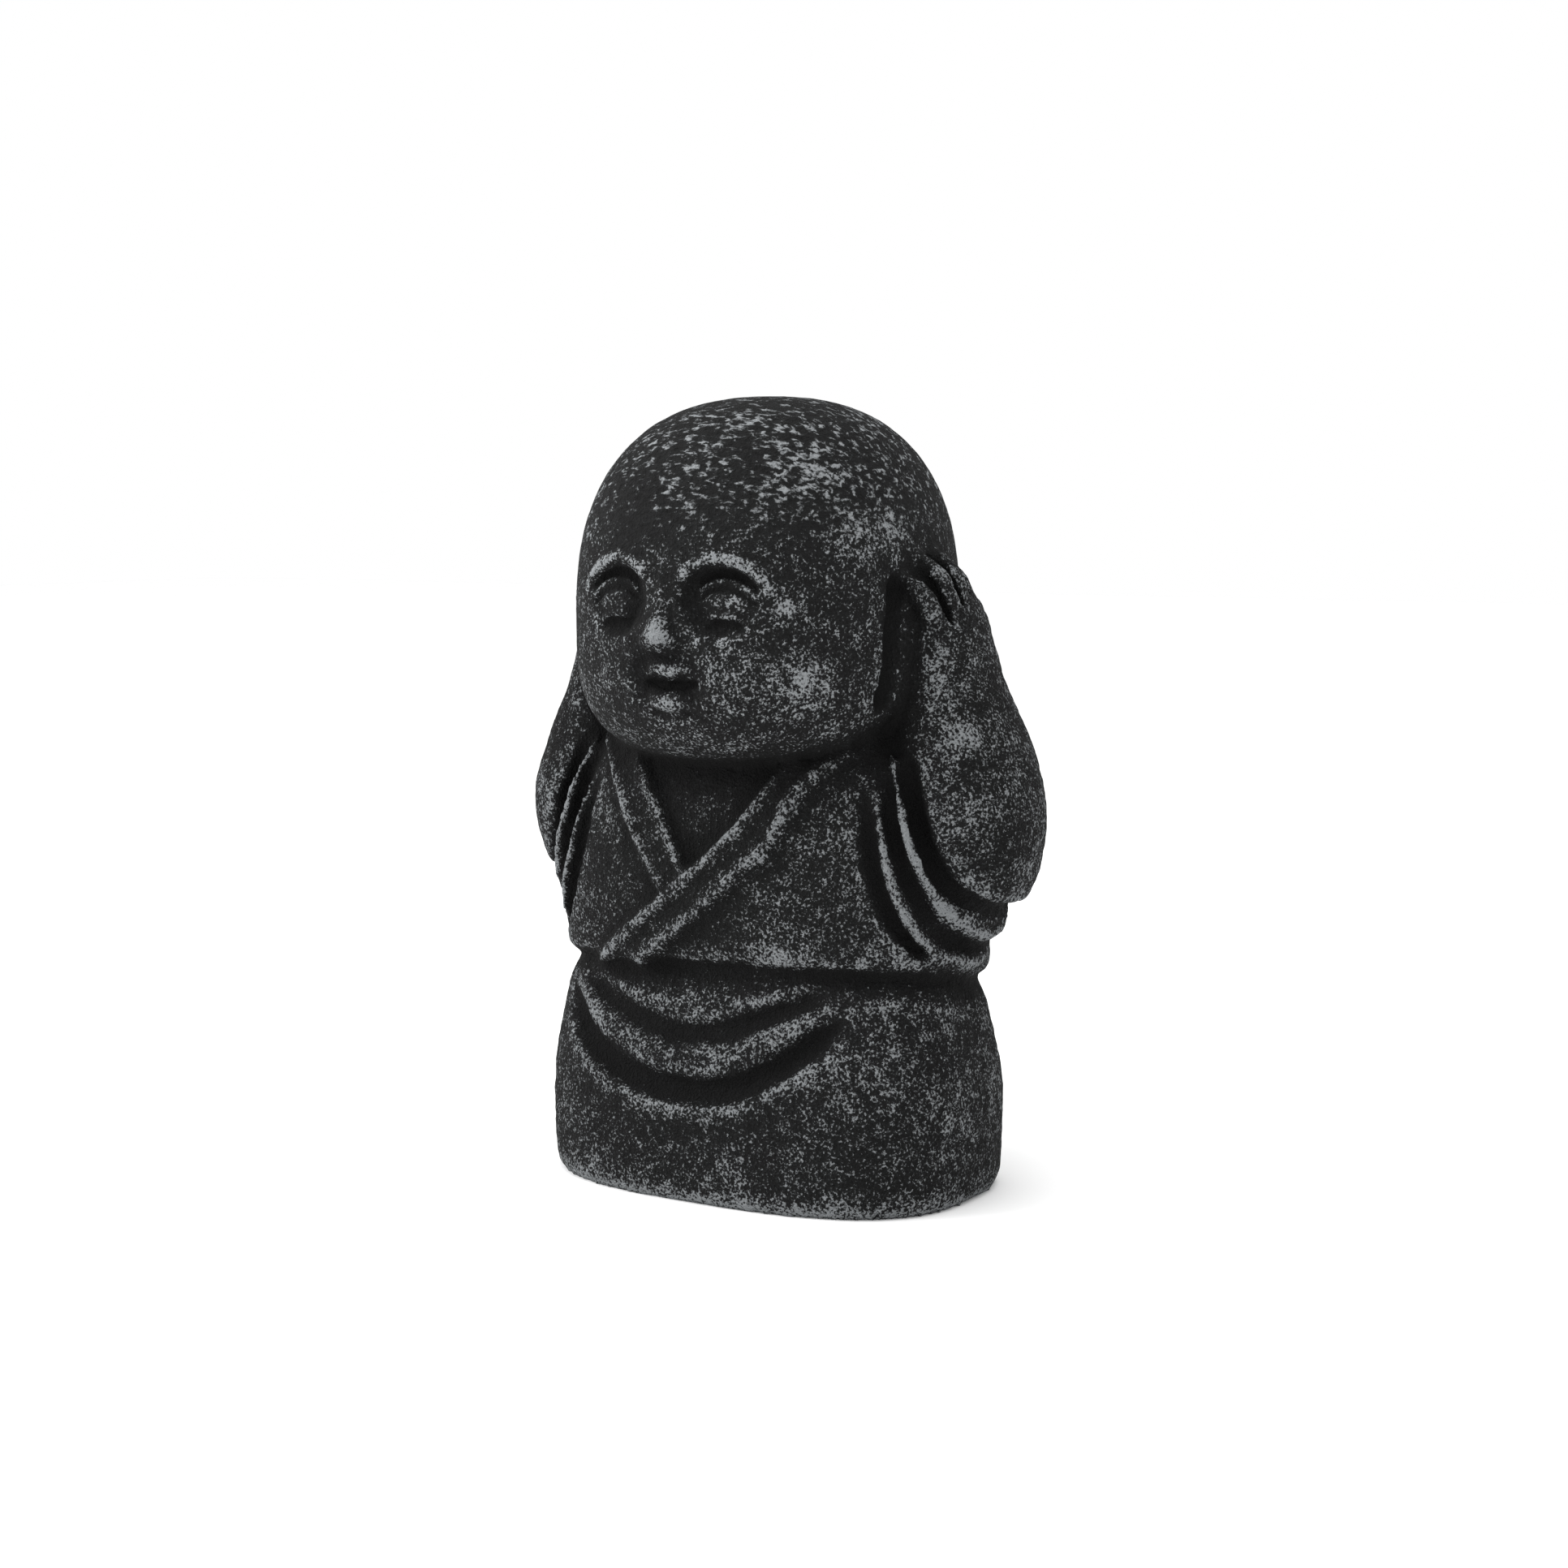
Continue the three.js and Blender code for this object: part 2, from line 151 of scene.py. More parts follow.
# Where the dry brush pressed harder or went lightly: x, y, z, size and how much.
BRUSH_DABS = [
    (21, -30, 112, 6, 2.2), (24, -28, 98, 9, 1.5), (12, -36, 100, 9, 0.9), (0, -41, 107, 4, 3.5),
    (1, -38, 100, 5, 1.5), (1, -37, 94, 4, 1.3), (28, -20, 124, 8, 1.2), (32, -13, 126, 8, 1.3),
    (20, -22, 136, 11, 0.8), (-6, -34, 127, 12, -1.1), (-30, -18, 110, 14, -1.4), (0, -36, 116, 5, -0.8),
    (0, -30, 80, 12, -0.3), (-42, -2, 82, 16, -1.8), (-24, -20, 60, 12, -0.5), (39, -12, 108, 6, 1.6),
    (42, -10, 98, 9, 1.3), (46, -9, 88, 6, 1.8), (48, -4, 62, 9, -0.3), (38, -16, 66, 7, 1.6),
    (42, -12, 55, 7, 1.1), (14, -25, 47, 9, 1.4), (36, -18, 28, 8, 0.4), (40, -7, 16, 9, 1.3),
    (-22, -26, 24, 10, -0.4), (10, -27, 24, 8, -1.0), (34, -12, 103, 6, -0.8),
]

# The cement's skin is uneven: the height and size of its lumps, and a seed that makes each its own pattern.
UNEVEN = ((0.10, 1.5, 0), (0.12, 4, 7))
FOOT_FLAT = 0.5         # what is lower than this rests on the ground

# The marks of the finish. The sand is 0.3 to 0.45 mm across, and is drawn a little coarser so that it shows.
SAND, SMEAR, CLUMP, PATCH = 0.5, 1.1, 1.9, 10.0
SAND_RELIEF = 0.8

ROUGH_STEP, CLAY_STEP = 0.76, 0.87      # how far apart the surface's points are, roughed out and after
GOLDEN_ANGLE = 2.39996      # in radians


# ---- Drawing ----

def through(stations):
    """A smooth curve through (place, value) stations, as a function of place."""
    x, y = np.array(stations, float).T
    here = np.arange(len(x))
    before, after = np.maximum(here - 1, 0), np.minimum(here + 1, len(x) - 1)
    slope = (y[after] - y[before]) / (x[after] - x[before])

    def value(place):
        p = np.clip(place, x[0], x[-1])
        i = np.clip(np.searchsorted(x, p, side="right") - 1, 0, len(x) - 2)
        w = x[i + 1] - x[i]
        t = (p - x[i]) / w
        return ((2 * t**3 - 3 * t**2 + 1) * y[i] + (t**3 - 2 * t**2 + t) * w * slope[i]
                + (3 * t**2 - 2 * t**3) * y[i + 1] + (t**3 - t**2) * w * slope[i + 1])
    return value


def drawn(points, count=32):
    """A smooth line drawn through a few points."""
    points = np.array(points, float)
    reach = np.r_[0, np.cumsum(np.linalg.norm(np.diff(points, axis=0), axis=1))]
    steps = np.linspace(0, reach[-1], count)
    return np.column_stack([through(np.column_stack([reach, c]))(steps) for c in points.T])


def mirrored(points):
    return np.array(points, float) * [-1, 1, 1]


def both(points):
    return np.array(points, float), mirrored(points)


def eased(value, low=0.0, high=1.0):
    """0 below low, 1 above high, and smooth between."""
    t = np.clip((value - low) / (high - low), 0, 1)
    return t * t * (3 - 2 * t)


def distance(points, line, reach=6.0):
    """How far each point is from a drawn line, where along it, from 0 to 1, its nearest place is, and
    that place. Points further off than reach are left as very far."""
    best, along, nearest = np.full(len(points), 1e9), np.zeros(len(points)), np.zeros_like(points)
    close = np.flatnonzero(((points > line.min(0) - reach) & (points < line.max(0) + reach)).all(axis=1))
    p = points[close]
    for k in range(len(line) - 1):
        step = line[k + 1] - line[k]
        t = np.clip((p - line[k]) @ step / (step @ step), 0, 1)
        place = line[k] + t[:, None] * step
        d = np.linalg.norm(p - place, axis=1)
        closer = d < best[close]
        i = close[closer]
        best[i], along[i], nearest[i] = d[closer], (k + t[closer]) / (len(line) - 1), place[closer]
    return best, along, nearest


def beside(points, line):
    """How far each (x, z) point is from a line drawn on the front, more than 0 to the right of the way
    that the line runs."""
    best, side = np.full(len(points), 1e9), np.zeros(len(points))
    for k in range(len(line) - 1):
        step = line[k + 1] - line[k]
        offset = points - line[k]
        t = np.clip(offset @ step / (step @ step), 0, 1)
        d = np.linalg.norm(offset - t[:, None] * step, axis=1)
        closer = d < best
        turn = offset[:, 0] * step[1] - offset[:, 1] * step[0]
        best[closer], side[closer] = d[closer], np.sign(turn[closer])
    return best * side


# ---- Clay ----

robe_width, robe_depth, robe_squareness = map(through, (ROBE_WIDTH, ROBE_DEPTH, ROBE_SQUARENESS))


def press(clay, sides, steps, place):
    """Adds a ball of clay pressed to shape. place says where the points of a ball of radius 1 go."""
    ball = bmesh.ops.create_uvsphere(clay, u_segments=sides, v_segments=steps, radius=1)["verts"]
    for vert, co in zip(ball, place(np.array([v.co for v in ball]))):
        vert.co = co


def stacked(low, high, steps, ring):
    """A body of level rings from low to high. ring gives each level's centre, half sizes and squareness."""
    def place(ball):
        x, y, z = ball.T
        level = np.clip((np.arccos(np.clip(-z, -1, 1)) / np.pi * steps - 1) / (steps - 2), 0, 1)
        height = low + (high - low) * level
        centre_x, centre_y, wide, deep, squareness = ring(height)
        r = np.maximum(np.hypot(x, y), 1e-9)
        x, y = x / r, y / r
        k = (np.abs(x)**squareness + np.abs(y)**squareness)**(-1 / squareness)
        k = np.where(r < 1e-6, 0, k)
        return np.column_stack([centre_x + wide * k * x, centre_y + deep * k * y, height])
    return place


def robe_ring(z):
    belt = through(BELT)(z) * (z > BELT[0][0]) * (z < BELT[-1][0])
    inset = belt + RIM_INSET * np.maximum(0, 1 - z / RIM)**2
    return 0, 0, robe_width(z) - inset, robe_depth(z) - inset, robe_squareness(z)


def belt_drop(points):
    """How far a height near the belt hangs down: most at the sides and back, and more on the figure's right."""
    x, y, z = points.T
    sag = BELT_SAG * np.clip(1 + y / robe_depth(z), 0, 1)**2
    return through(BELT_REACH)(z) * (sag - BELT_TILT * x / robe_width(z))


def robe(ball):
    points = stacked(0, ROBE_TOP, 150, robe_ring)(ball)
    points[:, 2] -= belt_drop(points)
    return points


def head(ball):
    x, y, z = ball.T
    jaw = np.where(z > 0, HEAD["crown"], HEAD["jaw"])
    tall = np.where(z > 0, HEIGHT - HEAD["level"], HEAD["level"] - HEAD["chin"])
    flat = (np.abs(x)**HEAD["plan"] + np.abs(y)**HEAD["plan"])**(1 / HEAD["plan"])
    s = (flat**jaw + np.abs(z)**jaw)**(-1 / jaw)
    back = HEAD["middle"] + HEAD["lean"] * np.maximum(0, z)**2
    height = HEAD["level"] + s * z * tall
    return np.column_stack([s * x * HEAD["width"], back + s * y * HEAD["depth"], height])


def arm(side):
    out, back, thick, deep = map(through, (ARM_OUT, ARM_BACK, ARM_THICK, ARM_DEEP))
    return stacked(ARM_FOOT, ARM_TOP, 80, lambda z: (side * out(z), back(z), thick(z), deep(z), ARM_SQUARENESS))


def rope(line, radius, sink=0.0):
    """A blunt-ended rope of clay along a drawn line, or sunk under it by a share of its radius."""
    def place(ball):
        x, y, z = ball.T
        t = np.arccos(np.clip(z, -1, 1)) / np.pi * (len(line) - 1)
        i = np.clip(t.astype(int), 0, len(line) - 2)
        at = line[i] + (t - i)[:, None] * (line[i + 1] - line[i])
        along = line[i + 1] - line[i]
        along /= np.linalg.norm(along, axis=1)[:, None]
        across = np.cross(along, at * [1, 1, 0])
        across /= np.linalg.norm(across, axis=1)[:, None]
        outward = np.cross(across, along)
        r = radius * np.maximum(np.hypot(x, y), 1e-6)**-0.5
        return at + across * (x * r)[:, None] + outward * (y * r - sink * radius)[:, None]
    return place


def on_robe(line, count=40, lift=0.0):
    """A line drawn on the robe's front, or held off it by lift, from its (x, height) places."""
    x, z = drawn(line, count).T
    n, wide, deep = robe_squareness(z), robe_width(z), robe_depth(z)
    aside = np.minimum(0.999, np.abs(x) / wide)
    front = (1 - aside**n)**(1 / n)
    off = np.column_stack([np.sign(x) * aside**(n - 1) / wide, -front**(n - 1) / deep])
    off /= np.linalg.norm(off, axis=1)[:, None]
    return np.column_stack([x + lift * off[:, 0], -deep * front + lift * off[:, 1], z])


# ---- Surface tools: each works on the figure's points and the way that each point faces ----

def mesh_of(name, bm):
    mesh = bpy.data.meshes.new(name)
    bm.to_mesh(mesh)
    bm.free()
    return mesh


def evened(mesh, step):
    """The surface drawn again with evenly spaced points, and lumps that meet made one."""
    obj = bpy.data.objects.new("clay", mesh)
    bpy.context.scene.collection.objects.link(obj)
    remesh = obj.modifiers.new("even", "REMESH")
    remesh.mode, remesh.voxel_size, remesh.adaptivity = "VOXEL", step, 0
    made = bpy.data.meshes.new_from_object(obj.evaluated_get(bpy.context.evaluated_depsgraph_get()))
    bpy.data.objects.remove(obj)
    bpy.data.meshes.remove(mesh)
    return made


def points_of(mesh):
    co = np.empty(len(mesh.vertices) * 3, np.float32)
    mesh.vertices.foreach_get("co", co)
    return co.reshape(-1, 3).astype(float)


def facing_of(mesh):
    normals = np.empty(len(mesh.vertices) * 3, np.float32)
    mesh.vertex_normals.foreach_get("vector", normals)
    return normals.reshape(-1, 3).astype(float)


def set_points(mesh, co):
    mesh.vertices.foreach_set("co", co.astype(np.float32).ravel())
    mesh.update()


def softened(mesh, values, times):
    """Values on the surface's points, each averaged with its neighbours a number of times."""
    edges = np.empty(len(mesh.edges) * 2, np.int32)
    mesh.edges.foreach_get("vertices", edges)
    a, b = edges.reshape(-1, 2).T
    count = len(mesh.vertices)
    around = np.bincount(a, minlength=count) + np.bincount(b, minlength=count) + 1.0
    values = np.array(values, float).reshape(count, -1)
    for _ in range(times):
        total = values.copy()
        for k in range(values.shape[1]):
            total[:, k] += np.bincount(a, values[b, k], count) + np.bincount(b, values[a, k], count)
        values = total / around[:, None]
    return values


def dying(along, ends):
    """1 along a stroke, dying out to 0 over a share of its length at both ends."""
    return eased(along, 0, ends) * eased(1 - along, 0, ends)


def gouged(co, out, line, radius, ends=0.12):
    """How deep each point sinks when a round gouge is run along a line."""
    d, along, nearest = distance(co, line)
    r = radius * np.sqrt(dying(along, ends))
    offset = ((co - nearest) * out).sum(axis=1)
    inside = d < r
    return np.where(inside, -offset - np.sqrt(np.maximum(offset**2 + r**2 - d**2, 0)), 0)


def roll(co, line, radius, height, ends=0.1):
    """The height of a soft ridge along a line, or the depth of a soft hollow."""
    d, along, _ = distance(co, line)
    return height * dying(along, ends) * eased(1 - d / radius)


def dab(co, at, size, height):
    """The height of a soft round lump or hollow."""
    d = np.sqrt((((co - at) / size)**2).sum(axis=1))
    return height * eased(1 - d)


def grain(co, size, seed):
    """Even noise over the surface, from about -1 to 1, with lumps of about that size."""
    return np.array([noise.noise(Vector(p) / size + Vector((seed, 0, 0))) for p in co]) * 1.6


# ---- The figure ----

def nose_ring(z):
    """The nose's level rings. Each reaches back into the face by its root."""
    round_ = np.where(z > HEAD["level"], HEAD["crown"], HEAD["jaw"])
    tall = np.where(z > HEAD["level"], HEIGHT - HEAD["level"], HEAD["level"] - HEAD["chin"])
    face = HEAD["middle"] - HEAD["depth"] * (1 - (np.abs(z - HEAD["level"]) / tall)**round_)**(1 / round_)
    return 0, face + NOSE_ROOT, through(NOSE_WIDTH)(z), through(NOSE_RISE)(z) + NOSE_ROOT, 2


def rough_figure():
    """The main lumps, pressed together."""
    clay = bmesh.new()
    press(clay, 120, 150, robe)
    press(clay, 120, 90, head)
    for side in SIDES:
        press(clay, 48, 80, arm(side))
    for fold in (OUTER_FOLD, INNER_FOLD):
        for line in both(fold):
            press(clay, 20, 60, rope(drawn(line, 48), FOLD_RADIUS, sink=FOLD_SINK))
    for finger in FINGERS:
        for line in both(finger):
            press(clay, 20, 20, rope(drawn(line), FINGER_RADIUS))
    return evened(mesh_of("clay", clay), ROUGH_STEP)


def head_reach(co):
    """1 on the head's own surface, less inside it and more outside."""
    x, y, z = co.T
    up = z > HEAD["level"]
    h = np.abs(z - HEAD["level"]) / np.where(up, HEIGHT - HEAD["level"], HEAD["level"] - HEAD["chin"])
    back = HEAD["middle"] + np.where(up, HEAD["lean"] * h**2, 0)
    flat = (np.abs(x / HEAD["width"])**HEAD["plan"] + np.abs((y - back) / HEAD["depth"])**HEAD["plan"])
    round_ = np.where(up, HEAD["crown"], HEAD["jaw"])
    return (flat**(round_ / HEAD["plan"]) + h**round_)**(1 / round_)


def scooped(co, at, half, turn=0.0):
    """The front of the figure with an egg-shaped hollow scooped out of it."""
    x, y, z = (co - at).T
    c, s = np.cos(turn), np.sin(turn)
    x, y = c * x + s * y, -s * x + c * y
    q = (x / half[0])**2 + (z / half[2])**2
    deep = half[1] * np.sqrt(np.clip(1 - q, 0, 1))
    inside = (q < 1) & (y < deep) & (co[:, 1] < -12)
    return co + np.outer(np.where(inside, deep - y, 0), (-s, c, 0))


def collar(co):
    """The lift of the two crossed collar bands, and the hollow of the chest between them."""
    front = np.column_stack([co[:, 0], co[:, 2]])
    inner = -beside(front, drawn(LEFT_BAND_INNER))
    outer = beside(front, drawn(LEFT_BAND_OUTER))
    middle = eased(inner, 0.8, 3.4) * eased(outer, 0.8, 3.4)
    left = eased(inner, -0.4, 0.3) * eased(outer, -2.4, 1) * (LEFT_BAND_RISE - BAND_HOLLOW * middle)
    under = eased(-inner, 0.2, 0.8)
    r_outer = -beside(front, drawn(RIGHT_BAND_OUTER))
    r_inner = beside(front, drawn(RIGHT_BAND_INNER))
    middle = eased(r_inner, 0.6, 2.4) * eased(r_outer, 0.6, 2.2)
    right = eased(r_outer, -0.5, 0.4) * eased(r_inner, -0.6, 0.5) * (RIGHT_BAND_RISE - BAND_HOLLOW * middle)
    chest = eased(-r_inner, -0.2, 0.8) * -CHEST_SINK
    groove = eased(1 - np.abs(r_outer + 0.8) / 1.3) * -BAND_GROOVE
    return left + under * (right + chest + groove)


def carved_figure():
    """The rough figure with its collar, folds, grooves and the hollows of the face cut in."""
    mesh = rough_figure()
    co = points_of(mesh)
    out = softened(mesh, facing_of(mesh), 5)
    out /= np.linalg.norm(out, axis=1)[:, None]
    x, y, z = co.T
    above_belt = z > BELT_LINE - belt_drop(co)
    robe_front = (y < COLLAR_FRONT) & (head_reach(co) > 1.02) & (z < COLLAR_TOP) & above_belt
    co += out * np.where(robe_front, collar(co) * eased(COLLAR_WIDE - np.abs(x), 0, 3), 0)[:, None]
    rise = sum(roll(co, on_robe(line), radius, height) for line, radius, height in SWAG_RISES)
    co += out * np.where(y < 2, rise, 0)[:, None]
    gouges = [(on_robe(line, lift=lift), radius) for line, lift, radius in SWAG_GROOVES]
    for groove, radius in GROOVES:
        gouges += [(drawn(line, 40), radius) for line in both(groove)]
    for line, radius in gouges:
        co += out * gouged(co, out, line, radius)[:, None]
    for side in SIDES:
        co = scooped(co, (side * EYE_OUT, SOCKET_FRONT, EYE_LEVEL + SOCKET_LIFT), SOCKET, side * EYE_TURN)
    co = scooped(co, MOUTH_HOLLOW_AT, MOUTH_HOLLOW)
    set_points(mesh, co)

    clay = bmesh.new()
    clay.from_mesh(mesh)
    bpy.data.meshes.remove(mesh)
    press(clay, 32, 24, stacked(NOSE_WIDTH[0][0], NOSE_WIDTH[-1][0], 24, nose_ring))
    for side in SIDES:
        c, s = np.cos(side * EYE_TURN), np.sin(side * EYE_TURN)
        turn = np.array([(c, s, 0), (-s, c, 0), (0, 0, 1)])
        at = (side * EYE_OUT, EYEBALL_FRONT, EYE_LEVEL - EYEBALL_DROP)
        press(clay, 40, 30, lambda ball: (ball * EYEBALL) @ turn + at)
    for wide, middle, corner, radius in LIPS:
        half = [(-wide, LIP_CORNER_FRONT, corner), (-wide / 2, LIP_SIDE_FRONT, middle + 0.3),
                (0, LIP_MIDDLE_FRONT, middle)]
        line = np.array(half + [(-x, y, z) for x, y, z in half[1::-1]]) + (MOUTH_ASIDE, 0, 0)
        press(clay, 24, 30, rope(drawn(line), radius))
    return evened(mesh_of("clay", clay), CLAY_STEP)


def finer(mesh, where):
    """The mesh with its faces split in four where all of their points are chosen."""
    bm = bmesh.new()
    bm.from_mesh(mesh)
    bm.verts.ensure_lookup_table()
    bm.faces.ensure_lookup_table()
    edges = {e for f in bm.faces if all(where[v.index] for v in f.verts) for e in f.edges}
    bmesh.ops.subdivide_edges(bm, edges=list(edges), cuts=1, use_grid_fill=True)
    bpy.data.meshes.remove(mesh)
    return mesh_of("clay", bm)


def seen_from_front(co):
    """The points with their depth taken away, for lines that are drawn on the face from the front."""
    return np.column_stack([co[:, 0], np.zeros(len(co)), co[:, 2]])


def on_face(points, side=1, at=(0, 0)):
    """A smooth line on the face, from places out from at and up from it."""
    return np.array([(side * (at[0] + u), 0, at[1] + v) for u, v in drawn(points, 24)])


def face_lift(co):
    """The fine modelling of the face, as a lift off it: brows, lids, lips and the lines between them."""
    front = seen_from_front(co)
    lift = np.zeros(len(co))
    for side in SIDES:
        eye = (EYE_OUT, EYE_LEVEL)
        brow, upper, lower = (on_face(line, side, eye) for line in (BROW, UPPER_LID, LOWER_LID))
        lift += roll(front, brow, 2.0, 0.8)
        lift += (roll(front, upper, 1.1, 0.8) - roll(front, upper - (0, 0, 1.3), 0.8, 0.35)
                 - roll(front, upper + (0, 0, 1.7), 1.2, 0.4))
        lift += roll(front, lower, 1.0, 0.5)
        lift -= roll(front, lower - (0, 0, 1.5), 1.1, 0.35)
    lift -= roll(front, on_face(MOUTH_LINE), 1.1, 0.8)
    lift -= roll(front, on_face(CHIN_LINE), 1.4, 0.5)
    lift += roll(front, on_face(LIP_NOTCH), 1.6, 0.25)
    return lift


def brush_load(co):
    """How loaded the dry brush was at each point: more than 0 where it pressed, less where it hardly went."""
    brushed = np.zeros(len(co))
    for x, y, z, size, amount in BRUSH_DABS:
        brushed += dab(co, (x, y, z), size, amount)
    for side in SIDES:
        brow = on_face(BROW, side, (EYE_OUT, EYE_LEVEL)) + (0, 0, 0.8)
        brushed += roll(seen_from_front(co), brow, 1.5, 1.0) * (co[:, 1] < 0)
        for crest in (OUTER_FOLD, INNER_FOLD):
            brushed += roll(co, drawn(crest, 40) * (side, 1, 1), 3.4, 0.3)
    return brushed


def openness(mesh, co, out, reach=9.0, rays=14):
    """How open each point is, from 0 in a deep groove to 1: the share of ways out that nothing near stops.
    The finish paints shade into the hollows with it. The ways turn by the golden angle from one to the next,
    so that they spread evenly."""
    tree = BVHTree.FromPolygons([Vector(p) for p in co], [tuple(f.vertices) for f in mesh.polygons])
    turn = np.arange(rays) * GOLDEN_ANGLE
    rise = 0.2 + 0.75 * (np.arange(rays) + 0.5) / rays
    flat = np.sqrt(1 - rise**2)
    ways = np.column_stack([flat * np.cos(turn), flat * np.sin(turn), rise])
    open_and_shade = np.empty(len(co))
    for k, (point, normal) in enumerate(zip(co, out)):
        n = Vector(normal)
        turned = n.to_track_quat("Z", "Y")
        start = Vector(point) + n * 0.3
        free = sum(tree.ray_cast(start, turned @ Vector(way), reach)[0] is None for way in ways)
        open_and_shade[k] = free / rays
    return softened(mesh, open_and_shade, 2)[:, 0]


def finished_figure():
    """The carved figure with its fine modelling and grain, and the values that the finish reads."""
    mesh = carved_figure()
    co = points_of(mesh)
    x, y, z = co.T
    face = (y < FACE_FRONT) & (np.abs(x) < FACE_WIDE) & (z > FACE_SPAN[0]) & (z < FACE_SPAN[1])
    hands = (np.abs(x) > HAND_OUT) & (y < HAND_BACK) & (z > HAND_SPAN[0]) & (z < HAND_SPAN[1])
    mesh = finer(mesh, face | hands)
    co = softened(mesh, points_of(mesh), 1)
    set_points(mesh, co)
    out = facing_of(mesh)
    reach = head_reach(co)
    lift = np.where((co[:, 1] < MODELLED_FRONT) & (co[:, 2] > MODELLED_FROM), face_lift(co), 0)
    for finger, after in zip(FINGERS, FINGERS[1:]):
        for line in both((np.array(finger) + after) / 2 + (0.8, 0, 0)):
            gap = gouged(co, out, drawn(line), FINGER_GAP, ends=0.05)
            lift += np.where(np.abs(co[:, 0]) > HAND_OUT, gap, 0)
    co += out * lift[:, None]
    body = softened(mesh, co, 14)
    ridge = ((co - body) * out).sum(axis=1)
    sandy = eased(reach, 1.0, 1.05)
    # How open each point is. The finish darkens the bare cement with it as painted shade, and the dry brush
    # leaves less paint in the hollows.
    open_and_shade = openness(mesh, co, out)
    crown = (1 - sandy) * eased(co[:, 2], 118, 134)
    uneven = sum(height * grain(co, size, seed) for height, size, seed in UNEVEN)
    co += out * (uneven * (0.4 + 0.6 * sandy))[:, None]
    co[co[:, 2] < FOOT_FLAT, 2] = 0
    co = np.clip(co, *(np.array(corner) / MM for corner in cad_box))
    set_points(mesh, co * MM)
    for name, values in (("ridge", ridge), ("sandy", sandy), ("crown", crown), ("open", open_and_shade),
                         ("brushed", brush_load(co))):
        layer = mesh.attributes.new(name, "FLOAT", "POINT")
        layer.data.foreach_set("value", values.astype(np.float32))
    for polygon in mesh.polygons:
        polygon.use_smooth = True
    statue = bpy.data.objects.new("jizo_figure", mesh)
    bpy.context.scene.collection.objects.link(statue)
    return statue


# ---- Finishes ----

def linear(hex_colour):
    """An sRGB hex colour as the linear colour that a shader takes."""
    channels = [int(hex_colour[i:i + 2], 16) / 255 for i in (1, 3, 5)]
    return tuple(c / 12.92 if c <= 0.04045 else ((c + 0.055) / 1.055)**2.4 for c in channels) + (1,)


def add(tree, kind, settings=None, **links):
    """Adds a node. settings are its own values, and each link is a socket's value or what feeds it.
    A link is named for its socket, or _ and its number where several sockets share a name."""
    node = tree.nodes.new("ShaderNode" + kind)
    for key, value in (settings or {}).items():
        setattr(node, key, value)
    for key, value in links.items():
        numbered = key[0] == "_" and key[1:].isdigit()
        socket = node.inputs[int(key[1:]) if numbered else key.replace("_", " ")]
        if isinstance(value, bpy.types.NodeSocket):
            tree.links.new(value, socket)
        else:
            socket.default_value = value
    return node


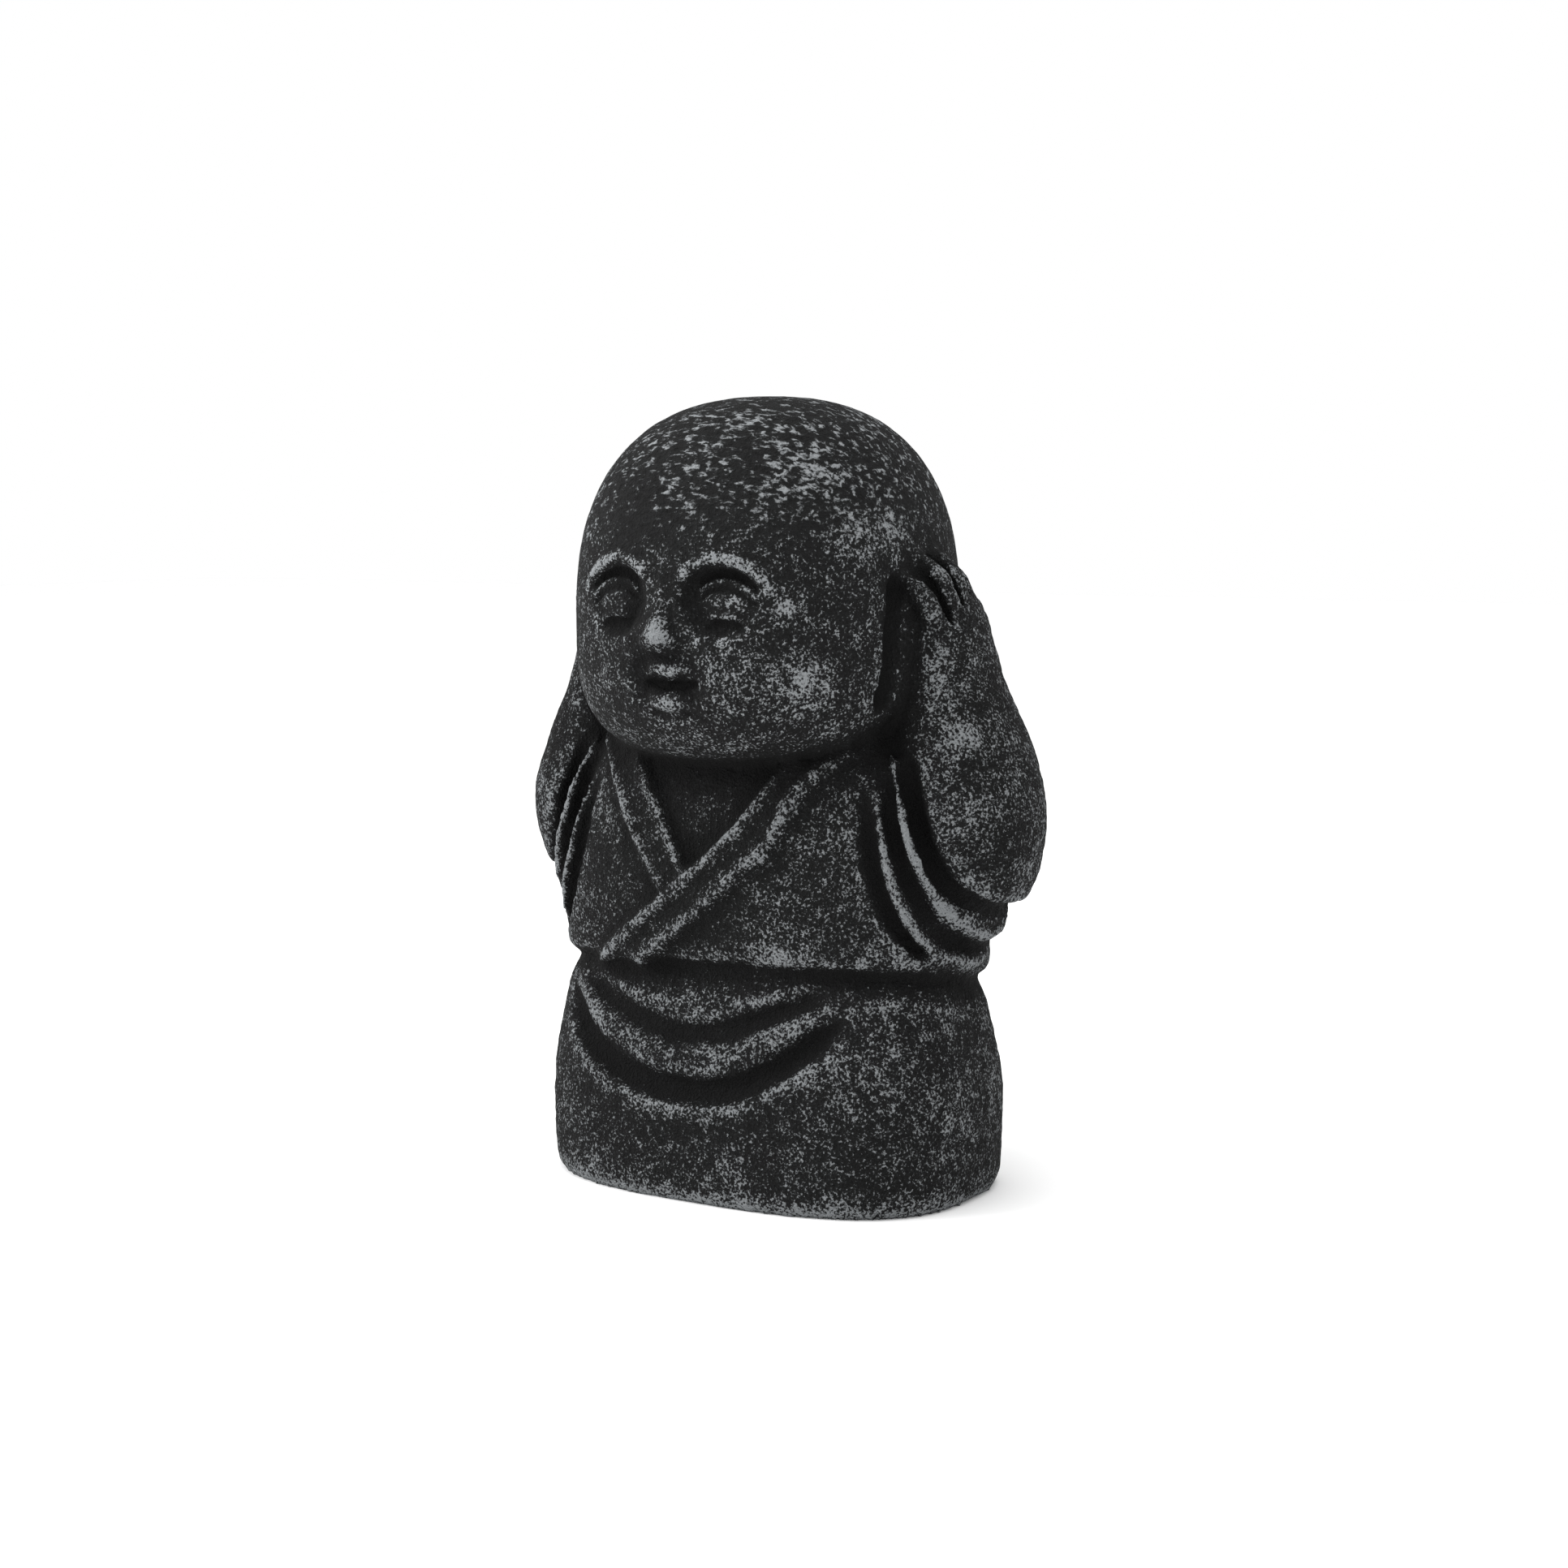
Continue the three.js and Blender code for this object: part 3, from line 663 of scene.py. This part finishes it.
def brushed_stone():
    """Cast cement with a sandy skin, painted matt charcoal and dry-brushed with pale grey. It looks dull and
    nearly black, with crisp pale flecks where the brush met ridges and the tops of the sand. The bare cement
    is painted darker in its hollows, and that darkening is painted shade."""
    material = bpy.data.materials.new("dry_brushed_cast_cement")
    material.use_nodes = True
    tree = material.node_tree
    tree.nodes.clear()

    place = add(tree, "TexCoord").outputs["Object"]
    mm = add(tree, "VectorMath", {"operation": "SCALE"}, Vector=place, Scale=1 / MM).outputs[0]
    ridge, sandy, crown, open_and_shade, brushed = (add(tree, "Attribute", {"attribute_name": name}).outputs["Fac"]
                                           for name in ("ridge", "sandy", "crown", "open", "brushed"))

    across = add(tree, "Mapping", Vector=mm, Scale=(0.5, 1.0, 1.3)).outputs[0]
    grains = add(tree, "TexNoise", Vector=mm, Scale=1 / SAND, Detail=2.0, Roughness=0.6).outputs["Fac"]
    smears = add(tree, "TexNoise", Vector=across, Scale=1 / SMEAR, Detail=3.0, Roughness=0.6,
                 Distortion=0.5).outputs["Fac"]
    clumps = add(tree, "TexNoise", Vector=mm, Scale=1 / CLUMP, Detail=3.0, Roughness=0.65).outputs["Fac"]
    patches = add(tree, "TexNoise", Vector=mm, Scale=1 / PATCH, Detail=3.0, Roughness=0.6).outputs["Fac"]

    # How much of the brush's paint each point catches. The brush drags on the crown and dabs elsewhere.
    marks = add(tree, "Mix", _0=crown, _2=grains, _3=smears).outputs[0]
    caught = -0.348
    for part, weight in ((marks, 0.66), (clumps, 0.34), (patches, 0.17), (open_and_shade, 0.28), (ridge, 0.22),
                         (brushed, 0.055)):
        caught = add(tree, "Math", {"operation": "MULTIPLY_ADD"}, _0=part, _1=weight, _2=caught).outputs[0]
    paint = add(tree, "MapRange", {"interpolation_type": "SMOOTHSTEP"}, Value=caught, From_Min=0.555,
                From_Max=0.66).outputs[0]
    haze = add(tree, "MapRange", Value=caught, From_Min=0.40, From_Max=0.60, To_Max=0.025).outputs[0]

    # The sand stands out more on the robe and arms than on the head, and thick paint a little more.
    rough = add(tree, "MapRange", Value=sandy, To_Min=0.5, To_Max=1.5).outputs[0]
    relief = add(tree, "Math", {"operation": "MULTIPLY"}, _0=grains, _1=rough).outputs[0]
    for part, weight in ((clumps, 1.5), (paint, 0.12)):
        relief = add(tree, "Math", {"operation": "MULTIPLY_ADD"}, _0=part, _1=weight, _2=relief).outputs[0]
    bump = add(tree, "Bump", Strength=1.0, Distance=SAND_RELIEF * MM, Height=relief).outputs[0]

    # Painted shade: the bare cement goes from #151515 down to #080808 where the surface is less open.
    stone_with_painted_shade = add(tree, "Mix", {"data_type": "RGBA"}, _0=open_and_shade, _6=linear("#080808"),
                _7=linear("#151515")).outputs[2]
    covered = add(tree, "Math", {"operation": "MAXIMUM"}, _0=paint, _1=haze).outputs[0]
    colour = add(tree, "Mix", {"data_type": "RGBA"}, _0=covered, _6=stone_with_painted_shade, _7=linear("#808385")).outputs[2]
    shader = add(tree, "BsdfPrincipled", Base_Color=colour, Roughness=0.9, Specular_IOR_Level=0.08,
                 Normal=bump)
    add(tree, "OutputMaterial", Surface=shader.outputs[0])
    return material


def backdrop():
    """Matt white paper, which shows no highlight and fades into the white room behind it."""
    material = bpy.data.materials.new("white_paper")
    material.use_nodes = True
    shader = material.node_tree.nodes["Principled BSDF"]
    shader.inputs["Base Color"].default_value = linear("#ffffff")
    shader.inputs["Roughness"].default_value = 0.9
    return material


statue = finished_figure()
statue.data.materials.append(brushed_stone())
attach(statue, "root")
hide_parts("jizo_statue")

# ---- Stage ----

ground = bmesh.new()
bmesh.ops.create_grid(ground, x_segments=1, y_segments=1, size=3)
floor = bpy.data.objects.new("floor", mesh_of("floor", ground))
bpy.context.scene.collection.objects.link(floor)
floor.data.materials.append(backdrop())

world = bpy.data.worlds.new("soft_white_room")
world.use_nodes = True
world.node_tree.nodes["Background"].inputs["Color"].default_value = (1, 1, 1, 1)
world.node_tree.nodes["Background"].inputs["Strength"].default_value = 1.0
bpy.context.scene.world = world


def softbox(name, at, size, watts):
    """A round soft light, in metres, that faces the middle of the figure."""
    light = bpy.data.lights.new(name, "AREA")
    light.shape, light.size, light.energy = "DISK", size, watts
    lamp = bpy.data.objects.new(name, light)
    lamp.location = at
    lamp.rotation_euler = (Vector((0, 0, HEIGHT * MM / 2)) - Vector(at)).to_track_quat("-Z", "Y").to_euler()
    bpy.context.scene.collection.objects.link(lamp)


softbox("left_window", (-0.7, -0.5, 0.6), 0.7, 8)
softbox("top_light", (0.1, -0.1, 1.0), 0.6, 4)

# The camera stands to the figure's left and a little above its middle, a short way off.
AZIMUTH, ELEVATION, CAMERA_AWAY, CAMERA_ASIDE, CAMERA_UP, AIM_BACK = 32, 6, 520, 0.3, 0.9, 2.6
SENSOR, FOCAL_LENGTH = 36, 61.68
azimuth, elevation = np.radians(AZIMUTH), np.radians(ELEVATION)
right = Vector((np.cos(azimuth), np.sin(azimuth), 0))
level = np.cos(elevation)
back = Vector((np.sin(azimuth) * level, -np.cos(azimuth) * level, np.sin(elevation)))
up = back.cross(right)
lens = bpy.data.cameras.new("camera")
lens.sensor_width, lens.lens = SENSOR, FOCAL_LENGTH
camera = bpy.data.objects.new("camera", lens)
camera.matrix_world = Matrix((right, up, back)).transposed().to_4x4()
aim = Vector((0, AIM_BACK, HEIGHT / 2))
camera.location = (aim + back * CAMERA_AWAY + right * CAMERA_ASIDE + up * CAMERA_UP) * MM
bpy.context.scene.collection.objects.link(camera)
bpy.context.scene.camera = camera
bpy.context.scene.view_settings.view_transform = "Standard"
